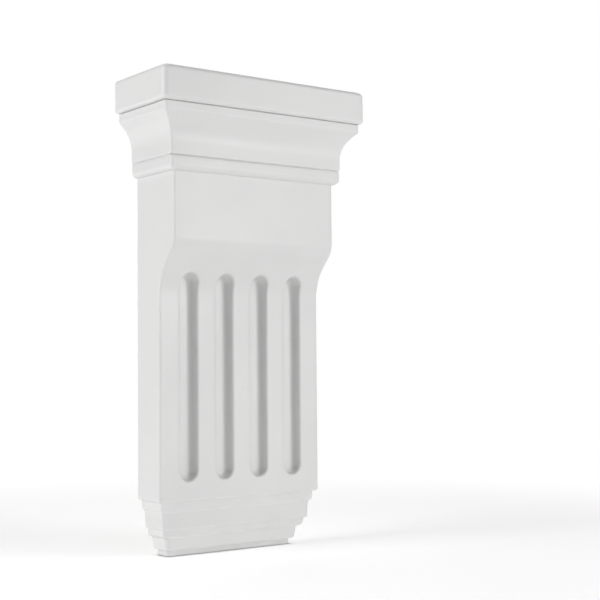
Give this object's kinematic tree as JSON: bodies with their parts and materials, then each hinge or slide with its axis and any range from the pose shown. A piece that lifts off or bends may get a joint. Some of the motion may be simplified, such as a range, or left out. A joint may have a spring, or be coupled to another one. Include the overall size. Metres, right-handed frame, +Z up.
{
  "type": "fluted corbel",
  "caption": "Wall corbel with a flat moulded crown, a shaft that steps back through an ogee to round-ended flutes, and a stepped moulded base.",
  "frame": {"origin": "middle of the flat back face, half way up", "axes": "+Z up, +Y into the wall out of the back face, the front faces -Y, +X along the wall"},
  "size_m": [0.1798, 0.0705, 0.35],
  "materials": {
    "white_finish": "primed white moulded polyurethane with a soft satin sheen"
  },
  "bodies": {
    "root": {"corbel": "white_finish"}
  },
  "joints": []
}
